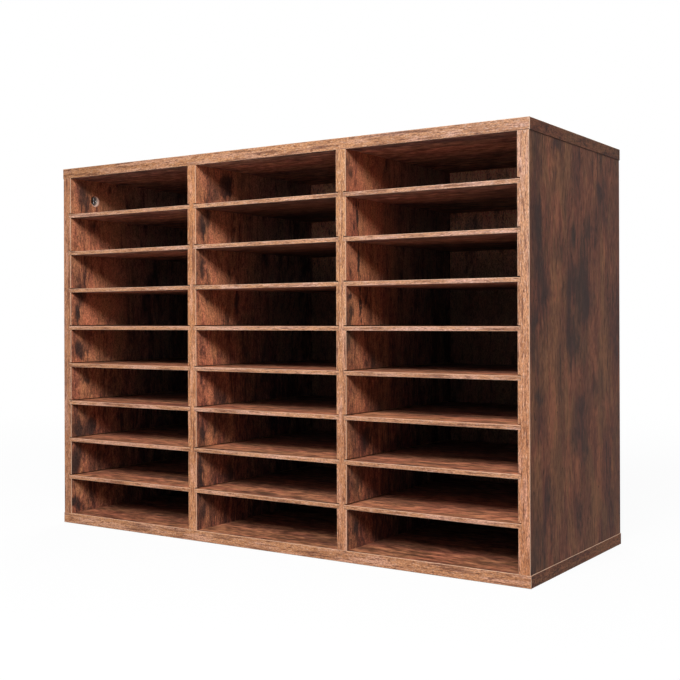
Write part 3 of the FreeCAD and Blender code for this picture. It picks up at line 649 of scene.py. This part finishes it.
LEFT_DIVIDER_MARKS = (
    (-0.085, 0.508, 0.012, 0.016, 0.36), (-0.137, 0.438, 0.010, 0.023, 0.24),
    (-0.072, 0.440, 0.004, 0.018, 0.16), (-0.138, 0.381, 0.010, 0.022, 0.26),
    (-0.059, 0.329, 0.006, 0.019, 0.24), (-0.078, 0.381, 0.004, 0.009, 0.14),
    (-0.096, 0.479, 0.004, 0.003, 0.20), (-0.145, 0.152, 0.006, 0.014, 0.20),
    (-0.148, 0.098, 0.004, 0.024, 0.24), (-0.099, 0.202, 0.025, 0.014, 0.10),
    (-0.076, 0.092, 0.008, 0.022, 0.16), (-0.143, 0.042, 0.007, 0.016, 0.14),
    (-0.118, 0.494, 0.028, 0.022, 0.10), (-0.104, 0.432, 0.023, 0.016, -0.22),
    (-0.106, 0.371, 0.019, 0.011, -0.16), (-0.128, 0.319, 0.018, 0.016, -0.20),
    (-0.124, 0.260, 0.017, 0.014, -0.36), (-0.137, 0.206, 0.013, 0.012, -0.16),
    (-0.119, 0.148, 0.019, 0.012, -0.14), (-0.134, 0.098, 0.009, 0.017, -0.20),
    (-0.060, 0.501, 0.007, 0.017, -0.10))
RIGHT_DIVIDER_MARKS = (
    (-0.122, 0.438, 0.003, 0.025, 0.40), (-0.120, 0.381, 0.003, 0.023, 0.40),
    (-0.117, 0.331, 0.003, 0.021, 0.36), (-0.143, 0.343, 0.005, 0.005, 0.30),
    (-0.138, 0.327, 0.006, 0.008, 0.22), (-0.102, 0.334, 0.004, 0.006, 0.20),
    (-0.136, 0.505, 0.007, 0.006, 0.10), (-0.140, 0.366, 0.004, 0.007, 0.22),
    (-0.105, 0.152, 0.009, 0.014, 0.30), (-0.129, 0.042, 0.006, 0.014, 0.26),
    (-0.145, 0.100, 0.003, 0.021, 0.14), (-0.091, 0.265, 0.009, 0.016, 0.08),
    (-0.081, 0.438, 0.033, 0.020, -0.16), (-0.102, 0.377, 0.012, 0.017, -0.22),
    (-0.136, 0.387, 0.009, 0.011, -0.16), (-0.129, 0.324, 0.008, 0.020, -0.18),
    (-0.106, 0.316, 0.008, 0.012, -0.18), (-0.126, 0.202, 0.014, 0.014, -0.24),
    (-0.118, 0.262, 0.021, 0.015, -0.08), (-0.111, 0.096, 0.009, 0.014, -0.12),
    (-0.098, 0.488, 0.016, 0.012, -0.16))
# The back panel's marks are pale pools of painted light.
BACK_MARKS = (
    (0.090, 0.455, 0.030, 0.030, -0.50), (0.090, 0.395, 0.030, 0.030, -0.90),
    (0.300, 0.455, 0.060, 0.026, -0.40))

# ---- Looks of each piece ---------------------------------------------------------------


def front_lock():
    """Middle of the front cam locks, across their uprights and along them."""
    low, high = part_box("cam_locks")
    radius = (high[2] - low[2]) / 2
    return low[1] + radius, low[2] + radius


# Painted light and shade: the uprights' print is brighter inside the compartments than on the outer
# faces, and darker towards the bottom (tilt).
UPRIGHT_LOOKS = {
    "left_side_panel": dict(outer=(-1, 0.8), shade=1.33, tone=0.025, tilt=0.18,
                            bore=front_lock(), spots=LEFT_PANEL_MARKS),
    "left_divider": dict(shade=1.42, tone=0.015, tilt=0.22, spots=LEFT_DIVIDER_MARKS),
    "right_divider": dict(shade=1.30, tone=0.01, tilt=0.24, spots=RIGHT_DIVIDER_MARKS),
    "right_side_panel": dict(outer=(1, 0.84), gleam=0.06, tone=0.015, smoke=0.03, blotch=0.8,
                             soft=0.16, smear=0.30, figure=0.34, streaks=0.44,
                             flames=(6, 30, 30), grit=(100, 280, 280), rough=0.17,
                             hues=(0.45, 0.55), spots=SIDE_MARKS)}
# Painted light: the back panel's inner face is painted much brighter than its outer one, brightest
# towards the top.
BACK_LOOKS = dict(outer=(1, 0.5), lit_span=(0.36, 0.44), shade=3.7, cast=BACK_SHADE_TINT, tone=0.09,
                  spots=BACK_MARKS)
# Painted light and shade: the top board is painted darker on top than underneath, and the end bands
# darker than the rest.
LYING_LOOKS = dict(outer=(-1, 1.15), gleam=0.12, tone=0.03, **FLAT_GRAIN)
FACE_SHADES = {"top": 0.66, "bottom": 0.98}    # of the boards' faces in the compartments
END_SHADES = {"top": 0.46, "bottom": 0.64}
# Painted shade: besides hue, the band tints darken the bands towards the left end.
BAND_TINTS = {
    "left_side_panel": ((0.84, 0.81, 0.87), (0.80, 0.76, 0.80)),
    "left_divider": ((1.05, 1.01, 1.02), (0.97, 0.92, 0.88)),
    "right_divider": ((0.95, 0.91, 0.98), (1.01, 1.09, 1.17)),
    "right_side_panel": ((0.94, 0.87, 0.90), (0.90, 1.00, 1.22)),
    "top": ((0.74, 0.74, 0.74), (0.90, 0.95, 1.03), (0.78, 0.87, 1.08)),
    "bottom": ((0.95, 0.96, 1.02), (0.92, 0.92, 1.00))}
LEVELS = range(1, 9)
EDGE_TINTS = {"left": (0.97, 1.03, 1.19), "middle": (1.00, 1.09, 1.29), "right": (0.92, 1.00, 1.22)}
MIDDLE_LEVEL, COOLER = 4.5, 0.025  # each shelf's edge is this much bluer than the one below
# Painted shade: these shelves' undersides are painted darker.
UNDER_SHADES = {"middle_shelf_8": 0.45, "middle_shelf_7": 0.6, "right_shelf_8": 0.8,
                "right_shelf_7": 0.65}
# A small pale spot under this shelf, near its front.
UNDER_SPOTS = {"right_shelf_8": (0.1725, -0.0995)}
METALS = {
    "cam_locks": ("zinc", (0.52, 0.53, 0.54), 0.36, (60, 900, 900)),
    "cam_bolts": ("plated_steel", (0.62, 0.62, 0.60), 0.30, (900, 900, 80)),
    "bottom_screws": ("yellow_zinc", (0.62, 0.55, 0.38), 0.34, (900, 900, 80))}

# ---- Assembly --------------------------------------------------------------------------
make_camera()
make_world()
make_floor()
for name, lamp in SOFTBOXES.items():
    softbox(name, **lamp)

for name, looks in UPRIGHT_LOOKS.items():
    band = name + "_front_band"
    dress(name, board(name, GRAIN_Z_FACING_X, **looks))
    dress(band, tan_band(band, GRAIN_Z_FACING_Y, BAND_TINTS[name]))
for level, shade in FACE_SHADES.items():
    panel, band = level + "_panel", level + "_front_band"
    dress(panel, board(panel, GRAIN_X_FACING_Z, shade=shade, **LYING_LOOKS))
    dress(band, tan_band(band, GRAIN_X_FACING_Y, BAND_TINTS[level]))
    for side in ("left", "right"):
        band = f"{level}_{side}_end_band"
        dress(band, brown_band(band, END_SHADES[level]))
dress("back_panel", board("back_panel", GRAIN_Z_FACING_Y, **BACK_LOOKS))
for column, (red, green, blue) in EDGE_TINTS.items():
    for level in LEVELS:
        name = f"{column}_shelf_{level}"
        cool = (level - MIDDLE_LEVEL) * COOLER
        tint = (red, green * (1 + cool / 2), blue * (1 + cool))
        dress(name, shelf_board(name, tint, UNDER_SHADES.get(name, 1.0), UNDER_SPOTS.get(name)))
for node, (name, *look) in METALS.items():
    dress(node, metal(name, *look))
dress("wooden_dowels", beech("beech"))

scene.view_settings.view_transform = "Standard"
